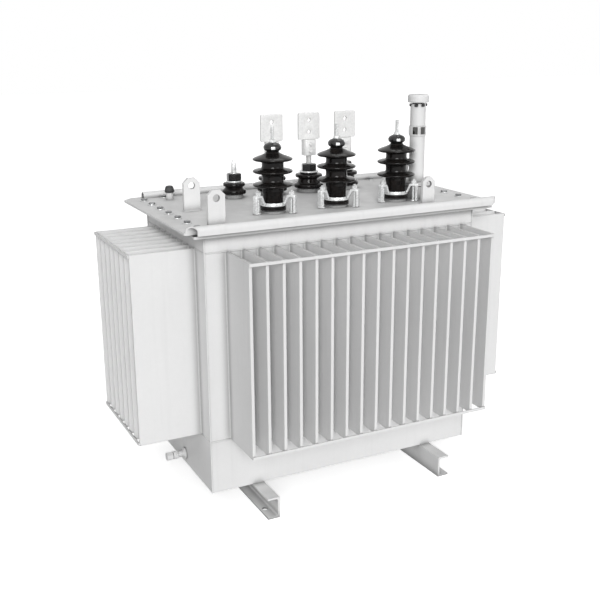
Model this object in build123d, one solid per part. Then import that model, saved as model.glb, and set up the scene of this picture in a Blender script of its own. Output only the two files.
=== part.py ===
from build123d import *
import math
import os

# Sealed oil transformer with corrugated tank walls. Millimetres, Z up, X along the long side,
# Y from front to back. The origin is on the floor under the centre of the tank.

# Base channels
channel_height = 70
channel_flange = 40
channel_sheet = 6
channel_length = 760
wheel_gauge = 640
anchor_radius = 9
anchor_to_web = 18

# Tank
sheet = 2
floor_sheet = 6
tank_height = 830
fin_pitch = 52
long_fins = 17
short_fins = 8
left_margin = 72
right_margin = 43
short_margin = 83
long_fin_depth = 169
short_fin_depth = 200
fin_thickness = 10
fin_tip_radius = 2
fin_root_radius = 4
fin_bottom = 172
fin_top_margin = 63

# Flat bars that tie the fin tips
bar_height = 9
bar_thickness = 4

# Top flange, gasket and cover
flange_width = 45
flange_sheet = 8
gasket_thickness = 4
gasket_inset = 3
cover_sheet = 7
cover_end_overhang = 69
cover_side_overhang = 63
rib_radius = 15
rib_sheet = 3.5
rib_height = 27
back_rib_setback = 70
cover_corner = 33

# High-voltage bushings
hv_spacing = 224
hv_centre_x = 36.5
hv_y = -126
hv_seat_radius = 37
hv_seat_height = 8
hv_foot_radius = 41
hv_foot_height = 14
hv_foot_step = 10
hv_neck_height = 24
hv_neck_slope = 6
hv_body_radius = 34
hv_shed_radius = 62
hv_shed_rim = 6
hv_shed_slope = 9
hv_shed_nose = 3
hv_shed_heights = (86, 128, 166)
hv_top_margin = 22
hv_cap_radius = 29
hv_cap_height = 28
hv_cap_side = 12.6
hv_cap_shoulder_radius = 21
hv_cap_top_radius = 13
hv_cap_dome = 4
hv_stud_radius = 6
hv_stud_length = 48
hv_stud_chamfer = 3

# Claws that hold the high-voltage bushings down
claw_count = 3
claw_turn = 195
claw_stud_offset = 19
claw_span = 34
claw_width = 17
claw_thickness = 8
claw_height = 58
claw_rise = 7
claw_bevel = 4
claw_overlap = 8
claw_stud_radius = 5
claw_nut_radius = 9
claw_nut_height = 8
claw_clearance = 0.3

# Low-voltage bushings
lv_spacing = 142
lv_centre_x = 18.5
lv_y = 172
lv_seat_height = 14
lv_foot_radius = 51
lv_foot_height = 12
lv_waist_radius = 36
lv_disc_radius = 47
lv_disc_height = 10
lv_disc_level = 52
lv_top_margin = 10
lv_slope = 6
lv_shoulder_step = 7
lv_shoulder_slope = 4
seat_inset = 10
neutral_foot_radius = 40
neutral_disc_radius = 37
neutral_waist_radius = 29
neutral_disc_level = 42
neutral_top_margin = 6

# Low-voltage terminals
lv_cap_radius = 28
lv_cap_height = 24
lv_stud_radius = 10
flag_neck_radius = 23
flag_neck_depth = 37
flag_neck_corner = 11
flag_neck_height = 54
flag_neck_gap = 30
flag_width = 82
flag_height = 92
flag_thickness = 10
flag_corner = 6
flag_hole_radius = 6.5
flag_hole_spacing = 40
neutral_nut_radius = 23
neutral_nut_height = 24
neutral_stud_length = 54
stud_tip = 8
stud_tip_length = 16

# Filling pipe and oil gauge
pipe_from_bushing_x = 97
pipe_from_bushing_y = 25
pipe_neck_radius = 52
pipe_neck_height = 54
pipe_neck_wall = 6
pipe_rim_height = 10
pipe_rim_step = 6
pipe_radius = 25.5
pipe_top = 310
pipe_cap_radius = 37
pipe_cap_height = 31
pipe_cap_round = 4
gauge_level = 205
gauge_height = 32
gauge_wall = 2.5

# Lifting plates
lug_width = 54
lug_height = 104
lug_sheet = 12
lug_shoulder = 15
small_lug_width = 46
small_lug_height = 88
lug_hole_radius = 11
lug_hole_to_top = 24
end_lug_x = 405.5
end_lug_y = 12
front_lug_left_x = -419.5
front_lug_right_x = 316.5
front_lug_y = -232

# Thermometer pocket
pocket_x = -402.5
pocket_y = 236
pocket_neck_radius = 12
pocket_neck_height = 25
pocket_cap_radius = 16
pocket_cap_height = 22
pocket_cap_top_radius = 12

# Drain valve on the left end wall
drain_y = -20
drain_level = 34
drain_flange_radius = 20
drain_flange_height = 6
drain_pipe_radius = 11
drain_hex_radius = 15
drain_hex_length = 22
drain_length = 66

# Core and coils inside the tank
limb_radius = 90
coil_radius = 150
coil_to_wall = 26
coil_gap = 15
yoke_height = 160
yoke_width = 160
yoke_overhang = 85
core_foot = 40
core_headroom = 34

# Places worked out from the sizes above
tank_length = (long_fins - 1) * fin_pitch + left_margin + right_margin
fins_x = (left_margin - right_margin) / 2
tank_width = (short_fins - 1) * fin_pitch + 2 * short_margin
tank_bottom = channel_height
wall_bottom = tank_bottom + floor_sheet
wall_top = tank_bottom + tank_height
fins_z = tank_bottom + fin_bottom
fin_height = tank_height - fin_bottom - fin_top_margin
fins_top = fins_z + fin_height
gasket_z = wall_top
cover_z = wall_top + gasket_thickness
deck_z = cover_z + cover_sheet
cover_length = tank_length + 2 * cover_end_overhang
cover_width = tank_width + 2 * cover_side_overhang
hv_neck_radius = hv_foot_radius - hv_foot_step
hv_body_top = hv_shed_heights[-1] + hv_top_margin
claw_circle = hv_foot_radius + claw_stud_offset
claw_reach = hv_foot_radius + claw_span
claw_knee = hv_foot_radius + claw_rise
lv_top = lv_disc_level + lv_disc_height + lv_top_margin
neutral_top = neutral_disc_level + lv_disc_height + neutral_top_margin
pipe_x = hv_centre_x + hv_spacing + pipe_from_bushing_x
pipe_y = hv_y + pipe_from_bushing_y
gauge_radius = pipe_radius + gauge_wall
limb_spacing = tank_length / 2 - sheet - coil_to_wall - coil_radius
coil_height = tank_height - floor_sheet - core_foot - core_headroom - 2 * (yoke_height + coil_gap)


def save(name, shape):
    """Write one node's solids as a STEP file."""
    export_step(shape, f"parts/{name}.step")


def cylinder(radius, height, x=0, y=0, z=0):
    """Upright cylinder standing on z."""
    return Pos(x, y, z) * Cylinder(radius, height, align=(Align.CENTER, Align.CENTER, Align.MIN))


def block(width, depth, height, x=0, y=0, z=0):
    """Upright block standing on z."""
    return Pos(x, y, z) * Box(width, depth, height, align=(Align.CENTER, Align.CENTER, Align.MIN))


def turned(points):
    """Solid turned about Z from half an outline in radius and height."""
    outline = make_face(Polyline(*points, close=True))
    return revolve(Plane.XZ * outline, Axis.Z)


def prism(sketch, height, z=0):
    """Plan outline raised from z."""
    return Pos(0, 0, z) * extrude(sketch, height)


def corrugated_wall(length, fins, depth, middle=0):
    """Sheet wall, outer face on Y = 0, with hollow fins that point to -Y, centred on the middle given."""
    skin = Pos(0, sheet / 2) * Rectangle(length, sheet)
    root = Pos(0, -fin_root_radius / 2) * Rectangle(fin_thickness + 2 * fin_root_radius, fin_root_radius)
    scoop = Pos(0, -fin_root_radius) * Circle(fin_root_radius)
    side = fin_thickness / 2 + fin_root_radius
    root = root - Pos(side, 0) * scoop - Pos(-side, 0) * scoop
    blade = Pos(0, -depth / 2) * Rectangle(fin_thickness, depth)
    tips = blade.vertices().sort_by(Axis.Y)[:2]
    blade = fillet(tips, fin_tip_radius)
    fin = prism(root + blade, fin_height, fins_z)
    duct = Pos(0, sheet - depth / 2) * Rectangle(fin_thickness - 2 * sheet, depth)
    duct = prism(duct, fin_height - 2 * sheet, fins_z + sheet)
    first = middle - (fins - 1) * fin_pitch / 2
    places = [Pos(first + step * fin_pitch, 0, 0) for step in range(fins)]
    wall = prism(skin, fin_height, fins_z) + [place * fin for place in places]
    return wall - [place * duct for place in places]


def fin_bars(fins, depth, middle=0):
    """Two flat bars across the fin tips, one at the top and one at the bottom."""
    length = (fins - 1) * fin_pitch + fin_thickness
    low = block(length, bar_thickness, bar_height, middle, -depth - bar_thickness / 2, fins_z)
    high = Pos(0, 0, fin_height - bar_height) * low
    return Compound([low, high])


def channel(side):
    """Base channel that opens outwards, with two anchor holes in its lower flange."""
    web_x = wheel_gauge / 2 - anchor_to_web - channel_sheet
    bar = block(channel_flange, channel_length, channel_height, web_x + channel_flange / 2)
    hollow_width = channel_flange - channel_sheet
    hollow = block(hollow_width, channel_length, channel_height - 2 * channel_sheet,
                   web_x + channel_sheet + hollow_width / 2, 0, channel_sheet)
    bar = bar - hollow
    lengthwise = bar.edges().filter_by(Axis.Y)
    inner = lengthwise.group_by(Axis.X)[1]
    bar = fillet(inner, channel_sheet)
    for y in (-wheel_gauge / 2, wheel_gauge / 2):
        bar = bar - cylinder(anchor_radius, 3 * channel_sheet, wheel_gauge / 2, y, -channel_sheet)
    return bar if side > 0 else mirror(bar, about=Plane.YZ)


def bottom_pan():
    """Tank floor with the plain walls below the fins."""
    pan_depth = fins_z - wall_bottom
    floor = block(tank_length, tank_width, floor_sheet, 0, 0, tank_bottom)
    return floor + ring_frame(tank_length, tank_width, tank_length - 2 * sheet, tank_width - 2 * sheet,
                              pan_depth, wall_bottom)


def top_frame():
    """Plain wall above the fins with the flange that carries the cover."""
    band = ring_frame(tank_length, tank_width, tank_length - 2 * sheet, tank_width - 2 * sheet,
                      wall_top - fins_top, fins_top)
    return band + ring_frame(tank_length + 2 * flange_width, tank_width + 2 * flange_width,
                             tank_length - 2 * sheet, tank_width - 2 * sheet,
                             flange_sheet, wall_top - flange_sheet)


def core_and_coils():
    """Three-limb core with its coils, standing on the tank floor."""
    yoke_length = 2 * limb_spacing + 2 * yoke_overhang
    yoke_z = wall_bottom + core_foot
    limbs_z = yoke_z + yoke_height
    window = coil_height + 2 * coil_gap
    yoke = block(yoke_length, yoke_width, yoke_height, 0, 0, yoke_z)
    whole = yoke + Pos(0, 0, yoke_height + window) * yoke
    for step in (-1, 0, 1):
        whole = whole + cylinder(limb_radius, window, step * limb_spacing, 0, limbs_z)
        whole = whole + cylinder(coil_radius, coil_height, step * limb_spacing, 0, limbs_z + coil_gap)
    for side in (-1, 1):
        whole = whole + block(yoke_overhang, yoke_width, core_foot, side * limb_spacing, 0, wall_bottom)
    return whole


def ring_frame(length, width, inner_length, inner_width, height, z):
    """Rectangular frame."""
    return prism(Rectangle(length, width) - Rectangle(inner_length, inner_width), height, z)


def cover():
    """Cover sheet whose long edges are rolled up into hollow ribs. All corners are cut, flat at the back."""
    outer_y = cover_width / 2
    centre_y = outer_y - rib_radius
    inner_y = centre_y - rib_radius
    rib_z = cover_z + rib_height - rib_radius
    bore = rib_radius - rib_sheet
    outline = Polyline((0, cover_z), (inner_y + rib_sheet, cover_z), (inner_y + rib_sheet, rib_z))
    outline += RadiusArc((centre_y - bore, rib_z), (centre_y + bore, rib_z), bore)
    outline += Polyline((centre_y + bore, rib_z), (centre_y + bore, cover_z), (outer_y, cover_z),
                        (outer_y, rib_z))
    outline += RadiusArc((outer_y, rib_z), (inner_y, rib_z), -rib_radius)
    outline += Polyline((inner_y, rib_z), (inner_y, deck_z), (0, deck_z), (0, cover_z))
    half = extrude(Plane.YZ * make_face(outline), cover_length / 2, both=True)
    whole = half + mirror(half, about=Plane.XZ)
    cut = cover_corner * math.sqrt(2)
    for side_x in (-1, 1):
        flat_x = side_x * (cover_length - back_rib_setback) / 2
        cleared = block(back_rib_setback, 2 * rib_radius, 2 * rib_height, flat_x, centre_y, cover_z)
        flat = block(back_rib_setback, 2 * rib_radius, cover_sheet, flat_x, centre_y, cover_z)
        whole = whole - cleared + flat
        for side_y in (-1, 1):
            corner = Pos(side_x * cover_length / 2, side_y * outer_y, cover_z - rib_height)
            whole = whole - corner * Rot(0, 0, 45) * block(cut, cut, 3 * rib_height)
    return whole


def shed(level):
    """Points of one rain shed, from its underside to its sloping top."""
    nose = hv_shed_radius - hv_shed_nose
    return [(hv_body_radius, level - hv_shed_rim), (nose, level - hv_shed_rim / 2),
            (hv_shed_radius, level), (nose, level + hv_shed_rim / 2),
            (hv_body_radius, level + hv_shed_rim / 2 + hv_shed_slope)]


def hv_bushing():
    """Porcelain with a foot, a neck and three sheds, standing on its seat."""
    low = hv_seat_height
    foot_top = low + hv_foot_height
    ledge = hv_foot_radius - claw_overlap - claw_clearance
    points = [(0, low), (hv_foot_radius, low), (hv_foot_radius, foot_top), (ledge, foot_top),
              (hv_neck_radius, foot_top + hv_neck_slope),
              (hv_neck_radius, foot_top + hv_neck_slope + hv_neck_height)]
    for level in hv_shed_heights:
        points += shed(level)
    points += [(hv_cap_radius, hv_body_top), (0, hv_body_top)]
    return turned(points)


def hv_terminal():
    """Domed cap with a threaded stud."""
    base = hv_body_top
    top = base + hv_cap_height
    tip = top + hv_stud_length
    points = [(0, base), (hv_cap_radius, base), (hv_cap_radius, base + hv_cap_side),
              (hv_cap_shoulder_radius, top - hv_cap_dome), (hv_cap_top_radius, top), (hv_stud_radius, top),
              (hv_stud_radius, tip - hv_stud_chamfer), (hv_stud_radius - hv_stud_chamfer, tip), (0, tip)]
    return turned(points)


def claw():
    """Arched claw from the porcelain's foot down to the deck, with its stud and nut, along X."""
    foot_top = hv_seat_height + hv_foot_height + claw_clearance
    toe = hv_foot_radius - claw_overlap
    arch_z = claw_height - claw_thickness
    shin = claw_reach - claw_thickness
    outline = make_face(Polyline((toe, foot_top), (hv_foot_radius, foot_top),
                                 (claw_knee + claw_bevel, arch_z), (shin, arch_z),
                                 (shin, 0), (claw_reach, 0),
                                 (claw_reach, claw_height - claw_bevel),
                                 (claw_reach - claw_bevel, claw_height), (claw_knee, claw_height),
                                 (hv_foot_radius - claw_bevel, foot_top + claw_thickness),
                                 (toe, foot_top + claw_thickness), close=True))
    arm = extrude(Plane.XZ * outline, claw_width / 2, both=True)
    stud = cylinder(claw_stud_radius, claw_height + 2 * claw_nut_height, claw_circle)
    nut = prism(Pos(claw_circle, 0) * RegularPolygon(claw_nut_radius, 6), claw_nut_height, claw_height)
    return arm + stud + nut


def claws():
    """Claws round one bushing."""
    return Compound([Rot(0, 0, claw_turn + step * 360 / claw_count) * claw() for step in range(claw_count)])


def lv_bushing(foot, waist, disc, disc_level, top):
    """Short porcelain with a wide foot and one upper disc."""
    low = lv_seat_height
    foot_top = low + lv_foot_height
    disc_top = disc_level + lv_disc_height
    shoulder = waist - lv_shoulder_step
    return turned([(0, low), (foot, low), (foot, foot_top), (waist, foot_top + lv_slope),
                   (waist, disc_level - lv_shoulder_slope), (disc, disc_level), (disc, disc_top),
                   (shoulder, disc_top + lv_shoulder_slope), (shoulder, top), (0, top)])


def lv_terminal():
    """Stud with a cap nut, a clamp block and an upright flag with two holes."""
    cap_top = lv_top + lv_cap_height
    neck_z = cap_top + flag_neck_gap
    flag_z = neck_z + flag_neck_height
    cap = prism(RegularPolygon(lv_cap_radius, 6), lv_cap_height, lv_top)
    stud = cylinder(lv_stud_radius, flag_neck_gap, 0, 0, cap_top)
    neck = block(2 * flag_neck_radius, flag_neck_depth, flag_neck_height, 0, 0, neck_z)
    neck = fillet(neck.edges().filter_by(Axis.Z), flag_neck_corner)
    plate = Rectangle(flag_width, flag_height)
    plate = fillet(plate.vertices(), flag_corner)
    for side in (-0.5, 0.5):
        plate = plate - Pos(0, side * flag_hole_spacing) * Circle(flag_hole_radius)
    flag = Pos(0, 0, flag_z + flag_height / 2) * extrude(Plane.XZ * plate, flag_thickness / 2, both=True)
    return cap + stud + neck + flag


def neutral_terminal():
    """Hexagon nut and a pointed stud."""
    nut = prism(RegularPolygon(neutral_nut_radius, 6), neutral_nut_height, neutral_top)
    base = neutral_top + neutral_nut_height
    tip = base + neutral_stud_length
    stud = turned([(0, base), (lv_stud_radius, base), (lv_stud_radius, tip - stud_tip_length),
                   (lv_stud_radius - stud_tip, tip), (0, tip)])
    return nut + stud


def lug(width, height):
    """Upright lifting plate with cut shoulders and an eye, standing on the cover."""
    plate = Pos(0, height / 2) * Rectangle(width, height)
    plate = chamfer(plate.vertices().sort_by(Axis.Y)[-2:], lug_shoulder)
    plate = plate - Pos(0, height - lug_hole_to_top) * Circle(lug_hole_radius)
    return extrude(Plane.XZ * plate, lug_sheet / 2, both=True)


def drain():
    """Drain stub with a flange and a hexagon plug, pointing to -X."""
    flange = cylinder(drain_flange_radius, drain_flange_height)
    pipe = cylinder(drain_pipe_radius, drain_length - drain_hex_length)
    plug = prism(RegularPolygon(drain_hex_radius, 6), drain_hex_length, drain_length - drain_hex_length)
    return Rot(0, -90, 0) * (flange + pipe + plug)


os.makedirs("parts", exist_ok=True)
deck = Pos(0, 0, deck_z)

save("base_channel_left", channel(-1))
save("base_channel_right", channel(1))
save("tank_floor", bottom_pan())
save("core_and_coils", core_and_coils())

front_wall = corrugated_wall(tank_length, long_fins, long_fin_depth, fins_x)
short_wall = corrugated_wall(tank_width - 2 * sheet, short_fins, short_fin_depth)
front = Pos(0, -tank_width / 2, 0)
left = Pos(-tank_length / 2, 0, 0) * Rot(0, 0, -90)
right = Rot(0, 0, 180) * left
save("front_wall", front * front_wall)
save("back_wall", mirror(front * front_wall, about=Plane.XZ))
save("left_wall", left * short_wall)
save("right_wall", right * short_wall)

front_bars = front * fin_bars(long_fins, long_fin_depth, fins_x)
short_bars = fin_bars(short_fins, short_fin_depth)
save("front_fin_bars", front_bars)
save("back_fin_bars", mirror(front_bars, about=Plane.XZ))
save("left_fin_bars", left * short_bars)
save("right_fin_bars", right * short_bars)

save("top_flange", top_frame())
save("cover_gasket", ring_frame(tank_length + 2 * (flange_width - gasket_inset),
                                tank_width + 2 * (flange_width - gasket_inset),
                                tank_length - 2 * sheet, tank_width - 2 * sheet, gasket_thickness, gasket_z))
save("cover", cover())

seats = []
for step in range(3):
    place = deck * Pos(hv_centre_x + (step - 1) * hv_spacing, hv_y, 0)
    seats.append(place * cylinder(hv_seat_radius, hv_seat_height))
    save(f"hv_bushing_{step + 1}", place * hv_bushing())
    save(f"hv_claws_{step + 1}", place * claws())
    save(f"hv_terminal_{step + 1}", place * hv_terminal())

for step, name in enumerate(("n", "a", "b", "c")):
    place = deck * Pos(lv_centre_x + (step - 1.5) * lv_spacing, lv_y, 0)
    if name == "n":
        seats.append(place * cylinder(neutral_foot_radius - seat_inset, lv_seat_height))
        save("lv_bushing_n", place * lv_bushing(neutral_foot_radius, neutral_waist_radius,
                                                neutral_disc_radius, neutral_disc_level, neutral_top))
        save("lv_terminal_n", place * neutral_terminal())
    else:
        seats.append(place * cylinder(lv_foot_radius - seat_inset, lv_seat_height))
        save(f"lv_bushing_{name}", place * lv_bushing(lv_foot_radius, lv_waist_radius, lv_disc_radius,
                                                      lv_disc_level, lv_top))
        save(f"lv_terminal_{name}", place * lv_terminal())
save("bushing_seats", Compound(seats))

pipe_place = deck * Pos(pipe_x, pipe_y, 0)
neck = cylinder(pipe_neck_radius, pipe_neck_height)
rim_z = pipe_neck_height - pipe_rim_height
neck = neck + cylinder(pipe_neck_radius + pipe_rim_step, pipe_rim_height, 0, 0, rim_z)
save("filler_neck", pipe_place * neck)
pipe = cylinder(pipe_radius, pipe_top - pipe_neck_height, 0, 0, pipe_neck_height)
save("filler_pipe", pipe_place * pipe)
gauge = cylinder(gauge_radius, gauge_height) - cylinder(pipe_radius, gauge_height)
save("oil_gauge", pipe_place * Pos(0, 0, gauge_level) * gauge)
cap = cylinder(pipe_cap_radius, pipe_cap_height, 0, 0, pipe_top)
cap = fillet(cap.edges().group_by(Axis.Z)[-1], pipe_cap_round)
save("filler_cap", pipe_place * cap)

save("lifting_lug_left", deck * Pos(-end_lug_x, end_lug_y, 0) * lug(lug_width, lug_height))
save("lifting_lug_right", deck * Pos(end_lug_x, end_lug_y, 0) * lug(lug_width, lug_height))
front_lug = deck * Pos(0, front_lug_y, 0)
save("cover_lug_left", front_lug * Pos(front_lug_left_x, 0, 0) * lug(lug_width, lug_height))
save("cover_lug_right", front_lug * Pos(front_lug_right_x, 0, 0) * lug(small_lug_width, small_lug_height))

pocket = cylinder(pocket_neck_radius, pocket_neck_height)
pocket_cap = turned([(0, pocket_neck_height), (pocket_cap_radius, pocket_neck_height),
                     (pocket_cap_top_radius, pocket_neck_height + pocket_cap_height),
                     (0, pocket_neck_height + pocket_cap_height)])
save("thermometer_pocket", deck * Pos(pocket_x, pocket_y, 0) * pocket)
save("pocket_cap", deck * Pos(pocket_x, pocket_y, 0) * pocket_cap)

save("drain_valve", Pos(-tank_length / 2, drain_y, tank_bottom + drain_level) * drain())
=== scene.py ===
import math
import random

import bmesh
import bpy
from bpy.props import FloatProperty, FloatVectorProperty, IntProperty, PointerProperty
from mathutils import Euler, Matrix, Vector


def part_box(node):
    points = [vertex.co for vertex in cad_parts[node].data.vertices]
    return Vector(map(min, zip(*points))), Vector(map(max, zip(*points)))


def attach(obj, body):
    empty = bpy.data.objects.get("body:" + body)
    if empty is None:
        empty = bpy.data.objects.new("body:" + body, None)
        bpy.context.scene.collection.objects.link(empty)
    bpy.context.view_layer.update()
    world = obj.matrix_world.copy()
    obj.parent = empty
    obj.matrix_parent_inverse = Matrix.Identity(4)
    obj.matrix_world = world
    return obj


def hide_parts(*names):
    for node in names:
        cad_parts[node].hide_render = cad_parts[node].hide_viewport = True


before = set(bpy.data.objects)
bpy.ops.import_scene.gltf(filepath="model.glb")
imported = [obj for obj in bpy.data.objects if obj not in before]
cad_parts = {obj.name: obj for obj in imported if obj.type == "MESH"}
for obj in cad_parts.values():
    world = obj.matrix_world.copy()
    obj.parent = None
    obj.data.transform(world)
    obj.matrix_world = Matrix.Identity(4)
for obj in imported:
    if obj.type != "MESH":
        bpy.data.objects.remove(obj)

bl_info = {
    "name": "Power transformer finish",
    "version": (1, 0, 0),
    "blender": (4, 5, 0),
    "location": "3D View > Sidebar > Transformer",
    "description": "Paint, porcelain, terminals, bolts and weld beads of a sealed power transformer",
    "category": "Object",
}

MM = 0.001
TURN = 2 * math.pi
QUARTER = math.pi / 2
FIN_PITCH = 52 * MM
BAR_OVERHANG = 5 * MM
FLANGE_SHEET = 8 * MM
BOLT_SEED = 12
BEAD_SEED = 5

# Place of the camera in metres, its angles in degrees and its lens in millimetres.
CAMERA_SPOT = (-1.3794, -2.7042, 1.4575)
CAMERA_DOWN, CAMERA_YAW, CAMERA_ROLL = 16.431, -26.466, -0.309
CAMERA_LENS = 55.08

# Name, spread in degrees and direction of each soft lamp.
LAMPS = (("key", 30, (-0.37, -0.865, 0.34)),
         ("side", 30, (0.50, -0.83, 0.24)),
         ("top", 60, (-0.30, -0.42, 0.85)),
         ("back", 26, (0.34, 0.38, 0.86)),
         ("rear", 30, (0.84, 0.52, 0.15)))

# Grey of the floor as light bounces off it, grey as it is seen, and the glow that lifts it to white.
FLOOR_BOUNCE, FLOOR_SEEN, FLOOR_GLOW = 0.35, 0.9, 0.6

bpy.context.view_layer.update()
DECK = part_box("hv_claws_1")[0].z
FLANGE_LOW, FLANGE_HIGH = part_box("top_flange")
PAN_LOW, PAN_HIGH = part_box("tank_floor")


class PaintSettings(bpy.types.PropertyGroup):
    """Enamel of the tank and the fittings welded to it."""
    colour: FloatVectorProperty(name="Colour", description="Colour of the tank enamel", subtype="COLOR",
                                size=3, min=0, max=1, default=(0.79, 0.79, 0.79))
    roughness: FloatProperty(name="Roughness", description="Roughness of the satin enamel", default=0.42,
                             min=0, max=1, subtype="FACTOR")
    peel: FloatProperty(name="Orange peel", description="Size of the orange peel in the enamel",
                        default=2.2 * MM, min=0, unit="LENGTH")
    edge: FloatProperty(name="Edge round", description="Radius at which paint rounds a sheet's edge",
                        default=1.2 * MM, min=0, unit="LENGTH")
    bead: FloatProperty(name="Weld bead", description="Radius of the weld beads", default=2.6 * MM, min=0,
                        unit="LENGTH")


class FastenerSettings(bpy.types.PropertyGroup):
    """Bolts, nuts and washers of the cover."""
    bolt: FloatProperty(name="Bolt", description="Diameter of a cover bolt", default=12 * MM, min=0,
                        unit="LENGTH")
    across: FloatProperty(name="Across flats", description="Width of a cover bolt's head across its flats",
                          default=19 * MM, min=0, unit="LENGTH")
    line: FloatProperty(name="Bolt line", description="Distance from the tank wall to the line of bolts",
                        default=17 * MM, min=0, unit="LENGTH")
    end_line: FloatProperty(name="Bolt line at the ends",
                            description="Distance from an end wall to its bolts",
                            default=13 * MM, min=0, unit="LENGTH")
    long_reach: FloatProperty(name="Long reach",
                              description="From the middle to the last bolt of a long side",
                              default=407 * MM, min=0, unit="LENGTH")
    short_reach: FloatProperty(name="Short reach", description="From the middle to the last bolt of an end",
                               default=251 * MM, min=0, unit="LENGTH")
    long_side: IntProperty(name="Bolts on a long side", description="Bolts along each long side",
                           default=10, min=2)
    short_side: IntProperty(name="Bolts on a short side", description="Bolts along each short side",
                            default=7, min=2)


class BushingSettings(bpy.types.PropertyGroup):
    """Porcelain glaze and terminal metals."""
    glaze: FloatVectorProperty(name="Glaze", description="Colour of the porcelain glaze", subtype="COLOR",
                               size=3, min=0, max=1, default=(0.0055, 0.0050, 0.0050))
    plated: FloatVectorProperty(name="Plated steel", description="Colour of the zinc plated fasteners",
                                subtype="COLOR", size=3, min=0, max=1, default=(0.86, 0.87, 0.87))
    tinned: FloatVectorProperty(name="Tinned copper", description="Colour of the low-voltage flags",
                                subtype="COLOR", size=3, min=0, max=1, default=(0.82, 0.82, 0.815))
    segments: IntProperty(name="Segments", description="Steps round each turned piece", default=64, min=12)


class StageSettings(bpy.types.PropertyGroup):
    """Floor, light and camera."""
    key: FloatProperty(name="Key light", description="Strength of the large soft light in front",
                       default=2.3, min=0)
    side: FloatProperty(name="Side light", description="Strength of the soft light from the right",
                        default=0.4, min=0)
    top: FloatProperty(name="Top light", description="Strength of the soft light above",
                       default=0.34, min=0)
    back: FloatProperty(name="Back light", description="Strength of the small light behind and above",
                        default=0.26, min=0)
    rear: FloatProperty(name="Rear light", description="Strength of the low light on the hidden sides",
                        default=0.35, min=0)
    fill: FloatProperty(name="Fill light", description="Strength of the light from all round",
                        default=0.24, min=0)
    floor_size: FloatProperty(name="Floor", description="Side of the floor", default=40.0, min=1,
                              unit="LENGTH")


# Materials


class Nodes:
    """Small helper that adds and joins the nodes of one material."""

    def __init__(self, name):
        self.material = bpy.data.materials.new(name)
        self.material.use_nodes = True
        self.tree = self.material.node_tree
        self.shader = self.tree.nodes["Principled BSDF"]
        self.space = self.tree.nodes.new("ShaderNodeTexCoord").outputs["Object"]

    def add(self, kind, inputs=None, **settings):
        node = self.tree.nodes.new(kind)
        for key, value in settings.items():
            setattr(node, key, value)
        for key, value in (inputs or {}).items():
            self.give(value, node.inputs[key])
        return node

    def give(self, value, socket):
        if isinstance(value, bpy.types.NodeSocket):
            self.tree.links.new(value, socket)
        else:
            socket.default_value = value

    def noise(self, size, detail, stretch=(1, 1, 1)):
        """Noise whose grain is about size metres, stretched along an axis where wanted."""
        mapping = self.add("ShaderNodeMapping", {"Vector": self.space, "Scale": stretch})
        return self.add("ShaderNodeTexNoise", {"Vector": mapping.outputs[0], "Scale": 1 / size,
                                               "Detail": detail}).outputs["Fac"]

    def span(self, value, low, high, to_low, to_high):
        """Value moved from one span to another, held at its ends."""
        node = self.add("ShaderNodeMapRange", {"Value": value, "From Min": low, "From Max": high,
                                               "To Min": to_low, "To Max": to_high})
        return node.outputs["Result"]

    def facing_up(self, low, high):
        """1 on faces that look up, 0 on upright ones."""
        normal = self.add("ShaderNodeNewGeometry").outputs["Normal"]
        return self.span(self.add("ShaderNodeSeparateXYZ", {0: normal}).outputs["Z"], low, high, 0.0, 1.0)

    def hollow(self, reach, samples):
        """How open a spot is: low in corners nearer than the reach."""
        return self.add("ShaderNodeAmbientOcclusion", {"Distance": reach}, samples=samples).outputs["AO"]

    def times(self, first, second):
        return self.add("ShaderNodeMath", {0: first, 1: second}, operation="MULTIPLY").outputs[0]

    def blend(self, factor, first, second, kind="MIX"):
        node = self.add("ShaderNodeMix", data_type="RGBA", blend_type=kind)
        self.give(factor, node.inputs[0])
        self.give(first, node.inputs[6])
        self.give(second, node.inputs[7])
        return node.outputs[2]

    def bump(self, height, strength, distance, normal=None):
        inputs = {"Height": height, "Strength": strength, "Distance": distance}
        if normal is not None:
            inputs["Normal"] = normal
        return self.add("ShaderNodeBump", inputs).outputs["Normal"]


def grey(value):
    return (value, value, value, 1.0)


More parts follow.
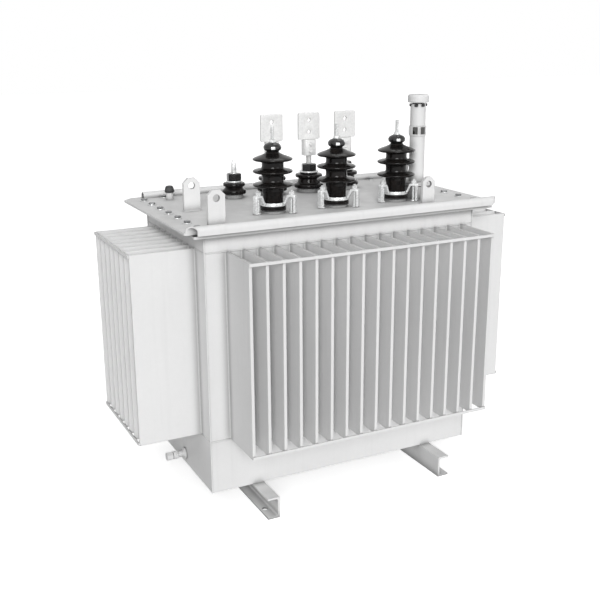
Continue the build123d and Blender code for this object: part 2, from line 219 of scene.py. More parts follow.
def enamel(name, colour, roughness, peel, edge):
    """Satin grey enamel with orange peel, dust on top faces, faint runs, worn edges, grime with painted
    shade in the corners and a near-black painted shade in deeper hollows.
    """
    n = Nodes(name)
    colour = (*colour, 1.0)
    cloud = n.span(n.noise(0.35, 4), 0.35, 0.65, 0.965, 1.0)
    mottle = n.span(n.noise(0.012, 3), 0.3, 0.7, 0.985, 1.0)
    runs = n.span(n.noise(0.02, 4, (1, 1, 0.05)), 0.55, 0.75, 1.0, 0.965)
    tone = n.times(n.times(cloud, mottle), runs)
    paint = n.blend(1.0, colour, n.add("ShaderNodeCombineColor", {0: tone, 1: tone, 2: tone}).outputs[0],
                    "MULTIPLY")
    dust = n.times(n.facing_up(0.6, 0.95), n.span(n.noise(0.06, 5), 0.4, 0.7, 0.0, 0.5))
    paint = n.blend(dust, paint, (0.70, 0.70, 0.695, 1.0))
    # Grime and painted shade: the paint turns grey in corners and creases nearer than 20 mm, broken up by
    # noise.
    grime_and_shade = n.times(n.span(n.hollow(0.02, 6), 0.25, 0.75, 0.30, 0.0),
                    n.span(n.noise(0.025, 4), 0.3, 0.7, 0.3, 1.0))
    paint = n.blend(grime_and_shade, paint, (0.33, 0.33, 0.325, 1.0))
    # Painted shade: the paint darkens to near black in hollows nearer than 36 mm, such as under the cover's
    # edge, below the lip and under the fins.
    painted_shade = n.span(n.hollow(0.036, 8), 0.30, 0.92, 0.85, 0.0)
    paint = n.blend(painted_shade, paint, (0.05, 0.05, 0.05, 1.0))
    rounded = n.add("ShaderNodeBevel", {"Radius": edge}, samples=6).outputs["Normal"]
    flat = n.add("ShaderNodeNewGeometry").outputs["True Normal"]
    facing = n.add("ShaderNodeVectorMath", {0: rounded, 1: flat}, operation="DOT_PRODUCT").outputs["Value"]
    worn = n.times(n.span(facing, 0.86, 0.98, 1.0, 0.0), n.span(n.noise(0.006, 4), 0.55, 0.68, 0.0, 0.5))
    paint = n.blend(worn, paint, (0.66, 0.66, 0.655, 1.0))
    n.give(paint, n.shader.inputs["Base Color"])
    rough = n.span(n.noise(0.03, 4), 0.3, 0.7, roughness - 0.07, roughness + 0.08)
    rough = n.add("ShaderNodeMath", {0: rough, 1: n.times(dust, 0.3)}, operation="ADD").outputs[0]
    n.give(rough, n.shader.inputs["Roughness"])
    skin = n.bump(n.noise(peel, 2), 0.10, 0.0004, rounded)
    waves = n.bump(n.noise(0.09, 2), 0.10, 0.002, skin)
    n.give(waves, n.shader.inputs["Normal"])
    n.shader.inputs["Specular IOR Level"].default_value = 0.15
    return n.material


def glaze(name, colour):
    """Dark glazed porcelain with pin holes, faint rings and dust on the upper faces."""
    n = Nodes(name)
    base = n.blend(n.span(n.noise(0.02, 4), 0.4, 0.7, 0.0, 1.0), (*colour, 1.0),
                   (colour[0] * 2.0, colour[1] * 1.7, colour[2] * 1.5, 1.0))
    dust = n.times(n.facing_up(0.5, 1.0), n.span(n.noise(0.008, 5), 0.35, 0.75, 0.0, 0.05))
    base = n.blend(dust, base, (0.30, 0.29, 0.27, 1.0))
    n.give(base, n.shader.inputs["Base Color"])
    rough = n.span(n.noise(0.004, 4), 0.35, 0.7, 0.10, 0.20)
    rough = n.add("ShaderNodeMath", {0: rough, 1: dust}, operation="ADD").outputs[0]
    n.give(rough, n.shader.inputs["Roughness"])
    rings = n.noise(0.02, 2, (0.05, 0.05, 6))
    n.give(n.bump(n.noise(0.003, 3), 0.06, 0.0004, n.bump(rings, 0.05, 0.0006)), n.shader.inputs["Normal"])
    n.shader.inputs["Specular IOR Level"].default_value = 0.18
    return n.material


def plated_metal(name, colour, roughness, dull=0.35, metallic=1.0):
    """Plated metal with cloudy dull patches, fine scratches and painted shade that darkens the corners."""
    n = Nodes(name)
    patches = n.span(n.noise(0.006, 5), 0.35, 0.7, 0.0, 1.0)
    dark = tuple(c * (1 - dull) for c in colour)
    metal = n.blend(patches, (*colour, 1.0), (*dark, 1.0))
    # Painted shade: the metal darkens toward black in corners nearer than 4 mm.
    metal = n.blend(n.span(n.hollow(0.004, 4), 0.3, 0.8, 0.55, 0.0), metal, (0.10, 0.10, 0.09, 1.0))
    n.give(metal, n.shader.inputs["Base Color"])
    n.shader.inputs["Metallic"].default_value = metallic
    rough = n.span(n.noise(0.003, 5), 0.3, 0.7, roughness - 0.08, roughness + 0.14)
    n.give(rough, n.shader.inputs["Roughness"])
    scratches = n.noise(0.0015, 4, (1, 1, 0.15))
    n.give(n.bump(scratches, 0.12, 0.0002), n.shader.inputs["Normal"])
    return n.material


def dull_surface(name, colour, roughness, grain):
    """Rubber, plastic or dark paint with a fine grain and a little dust."""
    n = Nodes(name)
    pale = tuple(min(1.0, c * 2.2 + 0.02) for c in colour)
    dust = n.span(n.noise(0.01, 5), 0.45, 0.8, 0.0, 0.5)
    n.give(n.blend(dust, (*colour, 1.0), (*pale, 1.0)), n.shader.inputs["Base Color"])
    rough = n.span(n.noise(0.005, 3), 0.3, 0.7, roughness - 0.06, roughness + 0.08)
    n.give(rough, n.shader.inputs["Roughness"])
    n.give(n.bump(n.noise(grain, 3), 0.25, 0.0003), n.shader.inputs["Normal"])
    return n.material


def sight_glass(name):
    """Dark sight glass of the oil gauge with a faint cloudy tint."""
    n = Nodes(name)
    tint = n.blend(n.noise(0.01, 3), (0.006, 0.006, 0.006, 1.0), (0.020, 0.018, 0.015, 1.0))
    n.give(tint, n.shader.inputs["Base Color"])
    n.give(n.span(n.noise(0.004, 3), 0.3, 0.7, 0.04, 0.10), n.shader.inputs["Roughness"])
    n.give(n.bump(n.noise(0.004, 2), 0.04, 0.0003), n.shader.inputs["Normal"])
    n.shader.inputs["Coat Weight"].default_value = 1.0
    return n.material


FINISHES = {}


def finish(name):
    """Material by its plain name, made when it is first wanted."""
    if name in FINISHES:
        return FINISHES[name]
    scene = bpy.context.scene
    paint = scene.transformer_paint
    metal = scene.transformer_bushing
    makers = {
        "enamel": lambda: enamel("grey_enamel", paint.colour, paint.roughness, paint.peel, paint.edge),
        "bead": lambda: enamel("bead_enamel", paint.colour, paint.roughness, paint.peel / 2, paint.edge / 4),
        "porcelain": lambda: glaze("dark_glaze", metal.glaze),
        "zinc": lambda: plated_metal("zinc_plate", metal.plated, 0.28, 0.20, 0.4),
        # Darker copy of the plated zinc for the bolt heads: painted shade against the light zinc of the
        # washers.
        "bolt": lambda: plated_metal("bolt_zinc", (0.30, 0.305, 0.31), 0.26),
        "tinned": lambda: plated_metal("tinned_copper", metal.tinned, 0.40, 0.12, 0.12),
        "dark_cap": lambda: dull_surface("dark_cap", (0.007, 0.007, 0.007), 0.17, 0.002),
        "rubber": lambda: dull_surface("black_rubber", (0.020, 0.020, 0.020), 0.62, 0.001),
        "plastic": lambda: dull_surface("black_plastic", (0.018, 0.018, 0.019), 0.45, 0.0012),
        "steel": lambda: plated_metal("bare_steel", (0.30, 0.30, 0.31), 0.45),
        "glass": lambda: sight_glass("sight_glass"),
    }
    FINISHES[name] = makers[name]()
    return FINISHES[name]


# Shapes


def ring_point(radius, angle, height):
    """Point on a ring, from millimetres to metres."""
    return (radius * MM * math.cos(angle), radius * MM * math.sin(angle), height * MM)


def loft(bm, rings, place, capped=True):
    """Skin between rings of points, with caps at both ends where wanted."""
    rows = [[bm.verts.new(place @ Vector(point)) for point in ring] for ring in rings]
    count = len(rows[0])
    for low, high in zip(rows, rows[1:]):
        for i in range(count):
            j = (i + 1) % count
            bm.faces.new((low[i], low[j], high[j], high[i]))
    if capped:
        bm.faces.new(list(reversed(rows[0])))
        bm.faces.new(rows[-1])


def softened(points, radius, steps=3):
    """Outline with its inner corners rounded to about the radius."""
    result = [points[0]]
    for before, corner, after in zip(points, points[1:], points[2:]):
        a, b, c = Vector(before), Vector(corner), Vector(after)
        reach = min(radius, (a - b).length * 0.45, (c - b).length * 0.45)
        first = b + (a - b).normalized() * reach
        last = b + (c - b).normalized() * reach
        for step in range(steps + 1):
            t = step / steps
            point = first.lerp(b, t).lerp(b.lerp(last, t), t)
            result.append((point.x, point.y))
    result.append(points[-1])
    return result


def lathe(bm, outline, place, segments):
    """Turned skin from an outline of radius and height in millimetres. Ends on the axis are closed."""
    on_axis = 0.01
    rings = [[ring_point(radius, TURN * i / segments, height) for i in range(segments)]
             for radius, height in outline if radius >= on_axis]
    open_bore = outline[0][0] > on_axis and outline[-1][0] > on_axis
    if open_bore:
        rings.append(rings[0])
    loft(bm, rings, place, capped=not open_bore)


def hexagon(across, angle):
    """Distance from the middle of a hexagon to its side, in the direction of an angle."""
    sixth = TURN / 6
    return across / 2 / math.cos((angle % sixth) - sixth / 2)


def nut(bm, across, height, place):
    """Hexagon nut or bolt head with chamfered corners, in millimetres."""
    steps = 48
    chamfer = 0.55
    flat = across / 2
    face = flat * 0.96
    angles = [TURN * i / steps for i in range(steps)]

    def ring(height_at, radius_at):
        return [ring_point(radius_at(a), a, height_at(a)) for a in angles]

    def drop(a):
        return (hexagon(across, a) - flat) * chamfer

    rings = [ring(lambda a: 0.0, lambda a: face),
             ring(drop, lambda a: hexagon(across, a)),
             ring(lambda a: height - drop(a), lambda a: hexagon(across, a)),
             ring(lambda a: height, lambda a: face)]
    loft(bm, rings, place)


def washer(bm, outer, thickness, place, segments=36):
    """Flat washer with softened edges, in millimetres. Its middle is closed, since another part fills it."""
    outline = [(0, 0), (outer, 0), (outer, thickness), (0, thickness)]
    lathe(bm, softened(outline, thickness * 0.3, 2), place, segments)


def thread(bm, radius, length, pitch, place, segments=24):
    """Stud with a real helical thread and a chamfered end, in millimetres."""
    depth = 0.6 * pitch
    rows_a_turn = 5
    rows = int(length / pitch * rows_a_turn)
    rings = []
    for row in range(rows + 1):
        height = row * length / rows
        tip = max(0.0, height - (length - depth * 1.5))
        ring = []
        for i in range(segments):
            phase = (height / pitch - i / segments) % 1.0
            r = radius - depth * abs(2 * phase - 1) - tip * 0.8
            ring.append(ring_point(r, TURN * i / segments, height))
        rings.append(ring)
    loft(bm, rings, place)


def plate(name, loops, thickness, edge, place):
    """Flat plate with holes and rounded edges, from closed loops in millimetres, as a mesh in place."""
    curve = bpy.data.curves.new(name, "CURVE")
    curve.dimensions = "2D"
    curve.fill_mode = "BOTH"
    curve.extrude = (thickness / 2 - edge) * MM
    curve.bevel_depth = edge * MM
    curve.bevel_resolution = 2
    curve.offset = -edge * MM
    for loop in loops:
        spline = curve.splines.new("POLY")
        spline.points.add(len(loop) - 1)
        for point, (x, y) in zip(spline.points, loop):
            point.co = (x * MM, y * MM, 0, 1)
        spline.use_cyclic_u = True
    drawn = bpy.data.objects.new(name + "_outline", curve)
    bpy.context.scene.collection.objects.link(drawn)
    bpy.context.view_layer.update()
    shaped = drawn.evaluated_get(bpy.context.evaluated_depsgraph_get())
    mesh = bpy.data.meshes.new_from_object(shaped)
    bpy.data.objects.remove(drawn)
    mesh.transform(place)
    return mesh


def join_mesh(bm, mesh):
    """Adds a mesh to the mesh in work and welds its seams."""
    bm.from_mesh(mesh)
    bpy.data.meshes.remove(mesh)
    bmesh.ops.remove_doubles(bm, verts=bm.verts, dist=0.00001)


def circle(radius, x=0.0, y=0.0, steps=32):
    return [(x + radius * math.cos(TURN * i / steps), y + radius * math.sin(TURN * i / steps))
            for i in range(steps)]


def rounded_box(width, low, high, radius, steps=6):
    """Outline of a plate with four rounded corners."""
    points = []
    right, left = width / 2 - radius, -width / 2 + radius
    for x, y, start in ((right, low + radius, -0.25), (right, high - radius, 0.0),
                        (left, high - radius, 0.25), (left, low + radius, 0.5)):
        for i in range(steps + 1):
            angle = TURN * (start + 0.25 * i / steps)
            points.append((x + radius * math.cos(angle), y + radius * math.sin(angle)))
    return points


def bead(bm, start, end, radius, dice):
    """Weld bead from one point to another, rippled along its length."""
    start, end = Vector(start), Vector(end)
    along = end - start
    length = along.length
    steps = max(4, int(length / (radius * 1.5)))
    turn = along.to_track_quat("Z", "Y").to_matrix()
    sides = 6
    angles = [TURN * i / sides for i in range(sides)]
    rings = []
    for step in range(steps + 1):
        ends = min(step, steps - step)
        swell = 0.55 if ends == 0 else 1.0
        size = radius * swell * (1.0 + 0.16 * (step % 2) + dice.uniform(-0.10, 0.10))
        centre = start + along * (step / steps)
        rings.append([centre + turn @ Vector((size * math.cos(angle), size * math.sin(angle), 0))
                      for angle in angles])
    loft(bm, rings, Matrix.Identity(4))


def place_piece(name, bm, material, replaces=(), sharp=40):
    """Makes an object of the mesh in work, with smooth faces and sharp edges, and rides it on the frame."""
    bmesh.ops.recalc_face_normals(bm, faces=bm.faces)
    mesh = bpy.data.meshes.new(name)
    bm.to_mesh(mesh)
    bm.free()
    mesh.polygons.foreach_set("use_smooth", [True] * len(mesh.polygons))
    mesh.set_sharp_from_angle(angle=math.radians(sharp))
    piece = bpy.data.objects.new(name, mesh)
    bpy.context.scene.collection.objects.link(piece)
    mesh.materials.append(finish(material))
    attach(piece, "root")
    if replaces:
        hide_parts(*replaces)


def centre_of(node):
    """Middle of a node's box in plan, at the level of the cover's deck."""
    low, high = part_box(node)
    return Vector(((low.x + high.x) / 2, (low.y + high.y) / 2, DECK))


def at(point, turn=0.0):
    return Matrix.Translation(point) @ Matrix.Rotation(turn, 4, "Z")


def above(spot, height):
    """Point over a spot, with the height in millimetres."""
    return spot + Vector((0, 0, height * MM))


def lift(height, out=0.0):
    """Move up, and outwards where wanted, in millimetres."""
    return Matrix.Translation((out * MM, 0, height * MM))


def on_side(spot, angle, out, height):
    """Place for a plate that stands on the side of a round piece and faces outwards."""
    turn = at(spot, math.radians(angle)) @ lift(height, out)
    return turn @ Matrix.Rotation(QUARTER, 4, "Y") @ Matrix.Rotation(QUARTER, 4, "Z")


def upright(place):
    """Stand a flat plate or a turned piece up, so that it faces the front."""
    return place @ Matrix.Rotation(QUARTER, 4, "X")


# Operators


class PaintTank(bpy.types.Operator):
    """Give the tank, cover, channels and fittings their enamel, and the gasket its rubber"""
    bl_idname = "transformer.paint_tank"
    bl_label = "Paint tank"

    def execute(self, context):
        others = {"cover_gasket": "rubber", "core_and_coils": "steel"}
        for name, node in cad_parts.items():
            kind = others.get(name, "enamel")
            if not node.material_slots:
                node.data.materials.append(finish(kind))
            for slot in node.material_slots:
                slot.material = finish(kind)
        return {"FINISHED"}


class CoverBolts(bpy.types.Operator):
    """Set the bolts and washers all round the cover"""
    bl_idname = "transformer.cover_bolts"
    bl_label = "Cover bolts"

    def execute(self, context):
        sizes = context.scene.transformer_fastener
        x_end = PAN_HIGH.x + sizes.end_line
        y_side = PAN_HIGH.y + sizes.line
        spots = []
        for i in range(sizes.long_side):
            x = sizes.long_reach * (2 * i / (sizes.long_side - 1) - 1)
            spots += [(x, -y_side), (x, y_side)]
        for i in range(sizes.short_side):
            y = sizes.short_reach * (2 * i / (sizes.short_side - 1) - 1)
            spots += [(-x_end, y), (x_end, y)]
        dice = random.Random(BOLT_SEED)
        across = sizes.across / MM
        bolt = sizes.bolt / MM
        washer_height, head_height = 2.5, 5.5
        heads, washers = bmesh.new(), bmesh.new()
        for x, y in spots:
            top = at((x, y, DECK), dice.uniform(0, TURN))
            washer(washers, bolt * 1.1, washer_height, top)
            nut(heads, across, head_height, top @ lift(washer_height))
        # The bolt heads take the darker zinc as painted shade; the washers keep the light zinc.
        place_piece("cover_bolts", heads, "bolt", sharp=30)
        place_piece("cover_washers", washers, "zinc", sharp=30)
        return {"FINISHED"}


class WeldBeads(bpy.types.Operator):
    """Run weld beads along the tank's seams, the fins' ends and the fittings"""
    bl_idname = "transformer.weld_beads"
    bl_label = "Weld beads"

    def execute(self, context):
        radius = context.scene.transformer_paint.bead
        dice = random.Random(BEAD_SEED)
        bm = bmesh.new()
        self.tank_seams(bm, radius, dice)
        self.fin_ends(bm, radius, dice)
        self.lug_feet(bm, radius, dice)
        place_piece("weld_beads", bm, "bead", sharp=80)
        return {"FINISHED"}

    def tank_seams(self, bm, radius, dice):
        """Corners, the seams above and below the fins, and the flange's underside."""
        x, y = PAN_HIGH.x, PAN_HIGH.y
        under_flange = FLANGE_HIGH.z - FLANGE_SHEET
        levels = [(PAN_HIGH.z, radius * 0.7), (FLANGE_LOW.z, radius * 0.7), (under_flange, radius)]
        for level, size in levels:
            for a, b in (((-x, -y), (x, -y)), ((x, -y), (x, y)), ((x, y), (-x, y)), ((-x, y), (-x, -y))):
                bead(bm, (*a, level), (*b, level), size, dice)
        for side_x in (-1, 1):
            for side_y in (-1, 1):
                corner = (side_x * x, side_y * y)
                bead(bm, (*corner, PAN_LOW.z), (*corner, under_flange), radius * 0.8, dice)

    def fin_ends(self, bm, radius, dice):
        """Beads along both flanks of each fin's pressed top and bottom ends."""
        sunk, flank_line = 0.4 * MM, 2.2 * MM
        for wall, bars, out in (("front", -1, 1), ("back", 1, 1), ("left", -1, 0), ("right", 1, 0)):
            bar_low, bar_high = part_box(wall + "_fin_bars")
            side = 1 - out
            middle = (bar_high[side] + bar_low[side]) / 2
            half = (bar_high[side] - bar_low[side]) / 2 - BAR_OVERHANG
            count = round(half * 2 / FIN_PITCH) + 1
            root = (PAN_HIGH.y if out else PAN_HIGH.x) * bars
            tip = bar_low[out] if bars > 0 else bar_high[out]
            for i in range(count):
                along = middle - half + 2 * half * i / (count - 1)
                for level, end in ((bar_low.z, -1), (bar_high.z, 1)):
                    for flank in (-1, 1):
                        a, b = [0, 0, level - end * sunk], [0, 0, level - end * sunk]
                        a[side] = b[side] = along + flank * flank_line
                        a[out], b[out] = root, tip
                        bead(bm, a, b, radius * 0.75, dice)

    def lug_feet(self, bm, radius, dice):
        """Beads round the feet of the lifting plates."""
        for node in ("lifting_lug_left", "lifting_lug_right", "cover_lug_left", "cover_lug_right"):
            low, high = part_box(node)
            ring = ((low.x, low.y), (high.x, low.y), (high.x, high.y), (low.x, high.y))
            for a, b in zip(ring, ring[1:] + ring[:1]):
                bead(bm, (*a, DECK), (*b, DECK), radius * 1.4, dice)


class HighVoltageBushings(bpy.types.Operator):
    """Turn the three tall porcelains with their foot gaskets"""
    bl_idname = "transformer.high_voltage_bushings"
    bl_label = "High-voltage bushings"

    def execute(self, context):
        segments = context.scene.transformer_bushing.segments
        outline = [(0, 11), (41, 11), (41, 22), (32.5, 22.3), (31.5, 30), (31.5, 56), (34, 66), (34, 78)]
        for level in (86, 128):
            outline += [(36, level - 7), (57, level - 5), (62, level - 2), (62, level + 2),
                        (56, level + 5), (36, level + 9), (34, level + 14), (34, level + 27)]
        outline += [(36, 159), (58, 161), (62, 163.5), (61.5, 167), (52, 171.5), (34, 178), (22, 184),
                    (20, 188), (0, 188)]
        for number in (1, 2, 3):
            spot = centre_of(f"hv_bushing_{number}")
            bm = bmesh.new()
            lathe(bm, softened(outline, 2.4), at(spot), segments)
            place_piece(f"porcelain_{number}", bm, "porcelain", (f"hv_bushing_{number}",))
            bm = bmesh.new()
            washer(bm, 40.5, 3.4, at(above(spot, 7.8)), segments)
            place_piece(f"foot_gasket_{number}", bm, "rubber")
        return {"FINISHED"}


class Claws(bpy.types.Operator):
    """Forge the claws that hold the tall porcelains, with their studs and nuts"""
    bl_idname = "transformer.claws"
    bl_label = "Claws"

    def execute(self, context):
        outline = [(36.4, 27.4), (42.5, 27.4), (52, 50), (67, 50), (67, 0), (75, 0), (75, 54), (71, 58),
                   (48, 58), (38.5, 34), (36.4, 34), (36.4, 27.4)]
        loop = softened(outline, 4.0)[:-1]
        stud_line, first_claw = 60, 195
        collar = [(32.8, 22.4), (40, 22.4), (40, 27.2), (35.8, 27.2), (35.8, 32), (32.8, 32)]
        for number in (1, 2, 3):
            spot = centre_of(f"hv_bushing_{number}")
            bm = bmesh.new()
            lathe(bm, softened(collar, 0.8, 2), at(spot), 64)
            for step in range(3):
                turn = at(spot, math.radians(first_claw + 120 * step))
                join_mesh(bm, plate("claw", [loop], 17, 1.6, upright(turn)))
                thread(bm, 5, 73, 1.5, turn @ lift(0, stud_line), 16)
                washer(bm, 9.5, 2, turn @ lift(58, stud_line))
                nut(bm, 16, 8, turn @ lift(60, stud_line))
                washer(bm, 8, 4, turn @ lift(0, stud_line))
            place_piece(f"claws_{number}", bm, "zinc", (f"hv_claws_{number}",), sharp=35)
        return {"FINISHED"}


class HighVoltageTerminals(bpy.types.Operator):
    """Cap the tall porcelains and set their clamp pads and threaded studs"""
    bl_idname = "transformer.high_voltage_terminals"
    bl_label = "High-voltage terminals"

    def execute(self, context):
        segments = context.scene.transformer_bushing.segments
        cap = [(0, 187.8), (19, 187.8), (21, 190.5), (26, 193.5), (28, 199), (27.6, 204), (23.5, 210),
               (15, 214.5), (9, 216), (0, 216)]
        pad = [rounded_box(13, -4.5, 4.5, 2.5)]
        pad_angle = -110
        for number in (1, 2, 3):
            spot = centre_of(f"hv_terminal_{number}")
            bm = bmesh.new()
            lathe(bm, softened(cap, 2.5), at(spot), segments)
            place_piece(f"stud_cap_{number}", bm, "dark_cap", (f"hv_terminal_{number}",))
            bm = bmesh.new()
            thread(bm, 6, 48, 1.75, at(above(spot, 215.5)))
            washer(bm, 11, 2, at(above(spot, 215.8)))
            nut(bm, 18, 7, at(above(spot, 217.8), 0.3 * number))
            join_mesh(bm, plate("clamp_pad", pad, 5, 1.2, on_side(spot, pad_angle, 27, 200.5)))
            place_piece(f"stud_{number}", bm, "zinc", (f"hv_terminal_{number}",), sharp=30)
        return {"FINISHED"}


class LowVoltageBushings(bpy.types.Operator):
    """Turn the short porcelains with their bright rings"""
    bl_idname = "transformer.low_voltage_bushings"
    bl_label = "Low-voltage bushings"

    def execute(self, context):
        segments = context.scene.transformer_bushing.segments
        for name in "nabc":
            small = name == "n"
            foot, waist, disc, level, top = (40, 29, 37, 42, 58) if small else (51, 36, 47, 52, 72)
            spot = centre_of(f"lv_bushing_{name}")
            outline = [(0, 14), (foot, 14), (foot, 26), (waist + 5, 31), (waist, level - 5),
                       (disc, level - 1), (disc + 0.6, level + 4), (disc - 1, level + 9),
                       (waist - 3, level + 10.5), (waist - 7, top - 5), (0, top - 5)]
            bm = bmesh.new()
            lathe(bm, softened(outline, 3.0), at(spot), segments)
            place_piece(f"short_porcelain_{name}", bm, "porcelain",
                        (f"lv_bushing_{name}",))
            bm = bmesh.new()
            washer(bm, waist - 3, 5, at(above(spot, top - 5)), segments)
            place_piece(f"bright_ring_{name}", bm, "zinc")
        return {"FINISHED"}


class LowVoltageTerminals(bpy.types.Operator):
    """Build the flags, clamp blocks and studs of the low-voltage side"""
    bl_idname = "transformer.low_voltage_terminals"
    bl_label = "Low-voltage terminals"

    def execute(self, context):
        for name in "abc":
            self.flag_terminal(name)
        self.neutral_terminal()
        return {"FINISHED"}

    def flag_terminal(self, name):
        spot = centre_of(f"lv_bushing_{name}")
        bm = bmesh.new()
        nut(bm, 48, 24, at(above(spot, 72), 0.2))
        place_piece(f"cap_nut_{name}", bm, "dark_cap", (f"lv_terminal_{name}",))
        bm = bmesh.new()
        thread(bm, 10, 34, 2.5, at(above(spot, 94)))
        block = [rounded_box(46, -18.5, 18.5, 11)]
        join_mesh(bm, plate("clamp", block, 54, 1.8, at(above(spot, 153))))
        for level in (140, 166):
            side = upright(at(spot + Vector((0, -17.5 * MM, level * MM))))
            washer(bm, 8, 1.6, side)
            nut(bm, 13, 6, side @ lift(1.6))
        loops = [rounded_box(82, 180, 272, 6), circle(6.5, 0, 206), circle(6.5, 0, 246)]
        join_mesh(bm, plate("flag", loops, 10, 1.0, upright(at(spot))))
        place_piece(f"flag_{name}", bm, "tinned", (f"lv_terminal_{name}",), sharp=35)

    def neutral_terminal(self):
        spot = centre_of("lv_bushing_n")
        bm = bmesh.new()
        nut(bm, 44, 24, at(above(spot, 58), 0.4))
        place_piece("neutral_nut", bm, "dark_cap", ("lv_terminal_n",))
        bm = bmesh.new()
        thread(bm, 10, 16, 2.5, at(above(spot, 81)))
        tip = [(0, 96), (9.6, 96), (8.4, 112), (5.5, 124), (2.0, 135.5), (0, 135.5)]
        lathe(bm, softened(tip, 1.5), at(spot), 32)
        washer(bm, 15, 3, at(above(spot, 82)))
        place_piece("neutral_stud", bm, "zinc", ("lv_terminal_n",), sharp=30)


class FillerPipe(bpy.types.Operator):
    """Fit the filling pipe's cap with its lugs, the foot gasket and the oil gauge"""
    bl_idname = "transformer.filler_pipe"
    bl_label = "Filling pipe"
    lug_angles = (-137, -88, -20, 40, 90, 160)
    window_angles = (-139, -86, 0, 60, 150)

    def execute(self, context):
        segments = context.scene.transformer_bushing.segments
        spot = centre_of("filler_pipe")
        bm = bmesh.new()
        cap = [(0, 314), (34, 314), (35, 316), (35, 334), (32, 339.5), (0, 340)]
        lathe(bm, softened(cap, 3.0), at(spot), segments)
        place_piece("pipe_cap", bm, "enamel", ("filler_cap",))
        bm = bmesh.new()
        lug = [rounded_box(11, -4, 5, 1.5)]
        for angle in self.lug_angles:
            join_mesh(bm, plate("cap_lug", lug, 8, 0.8, on_side(spot, angle, 25.5, 305)))
        washer(bm, 52.6, 2.6, at(above(spot, 40.5)), segments)
        place_piece("pipe_gaskets", bm, "dark_cap")
        self.gauge(spot, segments)
        return {"FINISHED"}

    def gauge(self, spot, segments):
        """Ring body with framed sight glasses round it."""
        bm = bmesh.new()
        body = [(25.6, 205), (27.4, 205), (28, 206), (28, 236), (27.4, 237), (25.6, 237)]
        lathe(bm, softened(body, 1.0), at(spot), segments)
        glass = bmesh.new()
        border = [rounded_box(20, -13.5, 13.5, 3), rounded_box(17, -12, 12, 2)]
        pane = [rounded_box(17.6, -12.3, 12.3, 2)]
        for angle in self.window_angles:
            place = on_side(spot, angle, 27.4, 223)
            join_mesh(bm, plate("glass_frame", border, 3, 0.5, place))
            join_mesh(glass, plate("glass_pane", pane, 2, 0.3, place))
        place_piece("gauge_body", bm, "enamel", ("oil_gauge",))
        place_piece("gauge_glass", glass, "glass", ("oil_gauge",))


class PocketCap(bpy.types.Operator):
    """Turn the grooved cap of the thermometer pocket"""
    bl_idname = "transformer.pocket_cap"
    bl_label = "Pocket cap"

    def execute(self, context):
        spot = centre_of("pocket_cap")
        bm = bmesh.new()
        outline = softened([(15.3, 25), (16, 27), (15.8, 33), (13.8, 41), (11, 46), (6, 47)], 1.5)
        rings = []
        steps = 72
        grooves, groove_depth = 18, 0.7
        for radius, height in outline:
            ring = []
            for i in range(steps):
                wave = max(0.0, math.cos(grooves * TURN * i / steps))
                depth = groove_depth * wave if 27 < height < 43 else 0.0
                ring.append(ring_point(radius - depth, TURN * i / steps, height))
            rings.append(ring)
        loft(bm, rings, at(spot))
        place_piece("grooved_cap", bm, "plastic", ("pocket_cap",))
        return {"FINISHED"}


class DrainValve(bpy.types.Operator):
    """Build the drain valve on the left end wall"""
    bl_idname = "transformer.drain_valve"
    bl_label = "Drain valve"

    def execute(self, context):
        low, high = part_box("drain_valve")
        middle = Vector((high.x, (low.y + high.y) / 2, (low.z + high.z) / 2))
        out = Matrix.Translation(middle) @ Matrix.Rotation(-QUARTER, 4, "Y")
        bm = bmesh.new()
        body = [(0, 0), (19.5, 0), (19.5, 5), (12, 7), (11, 10), (11, 26), (13, 28), (13, 44), (0, 44)]
        lathe(bm, softened(body, 1.2), out, 40)
        nut(bm, 26, 8, out @ lift(28))
        nut(bm, 26, 20, out @ lift(45.5))
        place_piece("drain_body", bm, "enamel", ("drain_valve",), sharp=30)
        return {"FINISHED"}


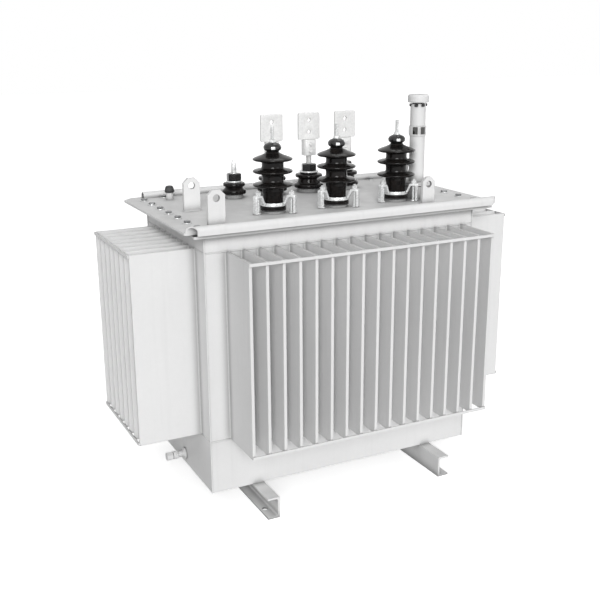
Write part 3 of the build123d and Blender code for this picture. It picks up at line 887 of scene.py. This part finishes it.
class Stage(bpy.types.Operator):
    """Set the floor, the soft light and the camera"""
    bl_idname = "transformer.stage"
    bl_label = "Stage"

    def execute(self, context):
        settings = context.scene.transformer_stage
        self.floor(settings)
        self.world(context.scene, settings)
        for name, spread, towards in LAMPS:
            self.lamp(name, getattr(settings, name), spread, towards)
        self.camera(context.scene)
        context.scene.view_settings.view_transform = "Standard"
        return {"FINISHED"}

    def floor(self, settings):
        half = settings.floor_size / 2
        mesh = bpy.data.meshes.new("floor")
        corners_of_floor = [(-half, -half, 0), (half, -half, 0), (half, half, 0), (-half, half, 0)]
        mesh.from_pydata(corners_of_floor, [], [(0, 1, 2, 3)])
        floor = bpy.data.objects.new("floor", mesh)
        bpy.context.scene.collection.objects.link(floor)
        material = bpy.data.materials.new("pale_floor")
        material.use_nodes = True
        tree = material.node_tree
        tree.nodes.clear()
        output = tree.nodes.new("ShaderNodeOutputMaterial")
        dark = tree.nodes.new("ShaderNodeBsdfDiffuse")
        dark.inputs["Color"].default_value = grey(FLOOR_BOUNCE)
        matt = tree.nodes.new("ShaderNodeBsdfDiffuse")
        matt.inputs["Color"].default_value = grey(FLOOR_SEEN)
        glow = tree.nodes.new("ShaderNodeEmission")
        glow.inputs["Color"].default_value = grey(1.0)
        glow.inputs["Strength"].default_value = FLOOR_GLOW
        seen = tree.nodes.new("ShaderNodeAddShader")
        tree.links.new(matt.outputs[0], seen.inputs[0])
        tree.links.new(glow.outputs[0], seen.inputs[1])
        mix = tree.nodes.new("ShaderNodeMixShader")
        tree.links.new(self.background_rays(tree), mix.inputs[0])
        tree.links.new(dark.outputs[0], mix.inputs[1])
        tree.links.new(seen.outputs[0], mix.inputs[2])
        tree.links.new(mix.outputs[0], output.inputs["Surface"])
        mesh.materials.append(material)

    def background_rays(self, tree):
        """Rays that show the background: straight to the camera, off gloss and through glass."""
        paths = tree.nodes.new("ShaderNodeLightPath")
        found = paths.outputs["Is Camera Ray"]
        for kind in ("Is Glossy Ray", "Is Transmission Ray"):
            either = tree.nodes.new("ShaderNodeMath")
            either.operation = "MAXIMUM"
            tree.links.new(found, either.inputs[0])
            tree.links.new(paths.outputs[kind], either.inputs[1])
            found = either.outputs[0]
        return found

    def world(self, scene, settings):
        world = bpy.data.worlds.new("soft_studio")
        scene.world = world
        world.use_nodes = True
        tree = world.node_tree
        tree.nodes.clear()
        output = tree.nodes.new("ShaderNodeOutputWorld")
        light = tree.nodes.new("ShaderNodeBackground")
        light.inputs["Color"].default_value = grey(1.0)
        light.inputs["Strength"].default_value = settings.fill
        white = tree.nodes.new("ShaderNodeBackground")
        white.inputs["Color"].default_value = grey(1.0)
        white.inputs["Strength"].default_value = 1.0
        mix = tree.nodes.new("ShaderNodeMixShader")
        tree.links.new(self.background_rays(tree), mix.inputs[0])
        tree.links.new(light.outputs[0], mix.inputs[1])
        tree.links.new(white.outputs[0], mix.inputs[2])
        tree.links.new(mix.outputs[0], output.inputs["Surface"])

    def lamp(self, name, energy, spread, towards):
        """Broad soft lamp that shines from one direction."""
        light = bpy.data.lights.new(name, "SUN")
        light.energy = energy
        light.angle = math.radians(spread)
        lamp = bpy.data.objects.new(name, light)
        bpy.context.scene.collection.objects.link(lamp)
        lamp.rotation_euler = Vector(towards).to_track_quat("Z", "Y").to_euler()

    def camera(self, scene):
        lens = bpy.data.cameras.new("camera")
        lens.lens = CAMERA_LENS
        camera = bpy.data.objects.new("camera", lens)
        scene.collection.objects.link(camera)
        turn = Euler((math.radians(90 - CAMERA_DOWN), 0, math.radians(CAMERA_YAW))).to_matrix()
        turn = turn @ Matrix.Rotation(math.radians(CAMERA_ROLL), 3, "Z")
        camera.matrix_world = Matrix.Translation(CAMERA_SPOT) @ turn.to_4x4()
        scene.camera = camera


OPERATORS = (PaintTank, CoverBolts, WeldBeads, HighVoltageBushings, Claws, HighVoltageTerminals,
             LowVoltageBushings, LowVoltageTerminals, FillerPipe, PocketCap, DrainValve, Stage)
SETTINGS = (("transformer_paint", PaintSettings), ("transformer_fastener", FastenerSettings),
            ("transformer_bushing", BushingSettings), ("transformer_stage", StageSettings))


class TransformerPanel(bpy.types.Panel):
    """Sizes, colours and steps of the transformer's finish"""
    bl_idname = "VIEW3D_PT_transformer"
    bl_label = "Transformer"
    bl_space_type = "VIEW_3D"
    bl_region_type = "UI"
    bl_category = "Transformer"

    def draw(self, context):
        for name, kind in SETTINGS:
            box = self.layout.box()
            for field in kind.__annotations__:
                box.prop(getattr(context.scene, name), field)
        for operator in OPERATORS:
            self.layout.operator(operator.bl_idname)


def register():
    for name, kind in SETTINGS:
        bpy.utils.register_class(kind)
        setattr(bpy.types.Scene, name, PointerProperty(type=kind))
    for operator in OPERATORS:
        bpy.utils.register_class(operator)
    bpy.utils.register_class(TransformerPanel)


def unregister():
    bpy.utils.unregister_class(TransformerPanel)
    for operator in reversed(OPERATORS):
        bpy.utils.unregister_class(operator)
    for name, kind in reversed(SETTINGS):
        delattr(bpy.types.Scene, name)
        bpy.utils.unregister_class(kind)


def main():
    register()
    for operator in OPERATORS:
        group, name = operator.bl_idname.split(".")
        getattr(getattr(bpy.ops, group), name)()


if __name__ == "__main__":
    main()
